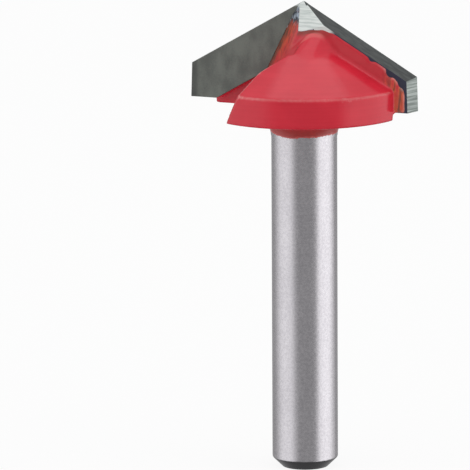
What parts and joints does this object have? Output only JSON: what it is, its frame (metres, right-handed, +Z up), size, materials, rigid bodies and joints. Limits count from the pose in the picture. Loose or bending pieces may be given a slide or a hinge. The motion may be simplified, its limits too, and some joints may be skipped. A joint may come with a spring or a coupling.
{
  "type": "v groove router bit",
  "caption": "V groove router bit: a round shank, a fluted head and two brazed carbide tips that form a wide point.",
  "frame": {"origin": "centre of the shank's end face", "axes": "+Z up the tool's axis to the point; the two cutting edges lie in the XZ plane; seen from the point, the tool turns so that the tip on +X cuts towards +Y"},
  "size_m": [0.0222, 0.019, 0.0432],
  "materials": {
    "body": "gloss red enamel on the head and neck, bare satin ground steel on the shank",
    "carbide": "ground dark grey carbide, matte on the rake faces",
    "braze": "thin braze under red enamel, heat tinted at its edges"
  },
  "bodies": {
    "root": {"tool_body": "body", "cutting_tip_1": "carbide", "cutting_tip_2": "carbide", "braze_1": "braze", "braze_2": "braze"}
  },
  "joints": []
}
